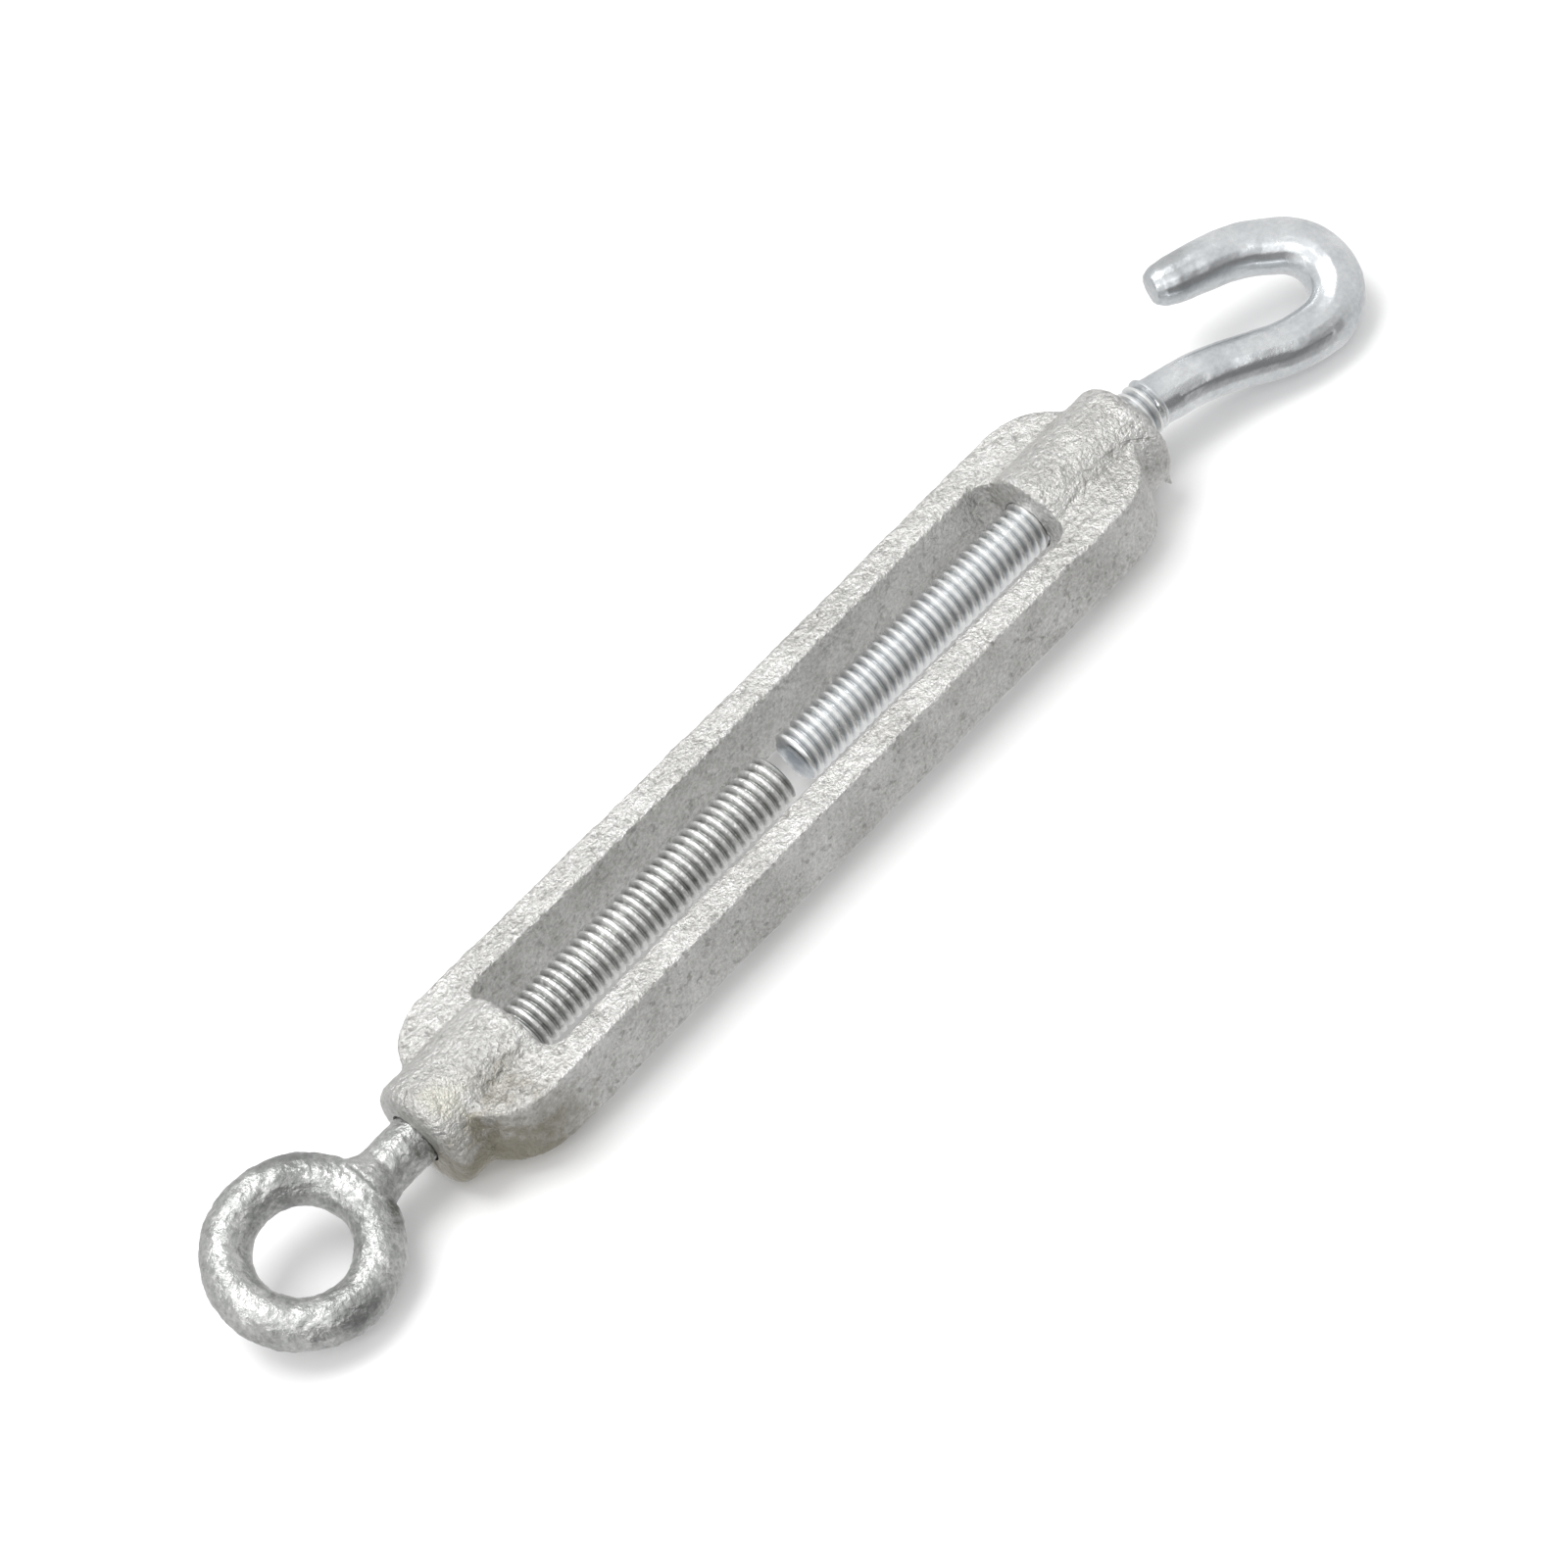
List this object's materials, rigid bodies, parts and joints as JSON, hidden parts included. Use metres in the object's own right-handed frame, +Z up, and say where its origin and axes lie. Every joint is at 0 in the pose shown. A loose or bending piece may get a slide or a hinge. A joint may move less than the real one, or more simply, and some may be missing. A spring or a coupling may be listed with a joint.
{
  "type": "rigging turnbuckle",
  "caption": "Open-body hook and eye turnbuckle: a slotted cast body with an eye bolt in one end and a hook bolt in the other, on opposite-hand threads.",
  "frame": {"origin": "middle of the footprint, at the height of the lowest point of the body's bosses", "axes": "+X along the thread axis from the eye to the hook, +Y across the two bars, +Z up through the slot"},
  "size_m": [0.2162, 0.027, 0.0166],
  "materials": {
    "galvanised_casting": "hot-dip galvanised, rough cast skin",
    "galvanised_forging": "galvanised forging, lumpy",
    "zinc_plated_forging": "bluish zinc, smooth",
    "bolt_core": "plain steel"
  },
  "bodies": {
    "body": {"turnbuckle_body": "galvanised_casting"},
    "eye_carriage": {"eye_bolt_core": "bolt_core"},
    "eye_bolt": {"eye_bolt": "galvanised_forging"},
    "hook_carriage": {"hook_bolt_core": "bolt_core"},
    "hook_bolt": {"hook_bolt": "zinc_plated_forging"}
  },
  "joints": [
    {"name": "eye_travel", "type": "slide", "parent": "body", "child": "eye_carriage", "axis": [-1, 0, 0], "range_m": [0, 0.04797]},
    {"name": "eye_turn", "type": "hinge", "parent": "eye_carriage", "child": "eye_bolt", "pos_m": [0, 0.00065, 0.0083], "axis": [-1, 0, 0], "range_deg": [-30, 12270]},
    {"name": "hook_travel", "type": "slide", "parent": "body", "child": "hook_carriage", "axis": [1, 0, 0], "range_m": [-0.0024, 0.047]},
    {"name": "hook_turn", "type": "hinge", "parent": "hook_carriage", "child": "hook_bolt", "pos_m": [0, 0.00065, 0.0083], "axis": [-1, 0, 0], "range_deg": [-640, 12030]}
  ],
  "couplings": [
    {"joint": "eye_turn", "follows": "eye_travel", "rad_per_m": 4452.7},
    {"joint": "hook_turn", "follows": "hook_travel", "rad_per_m": 4452.7}
  ]
}
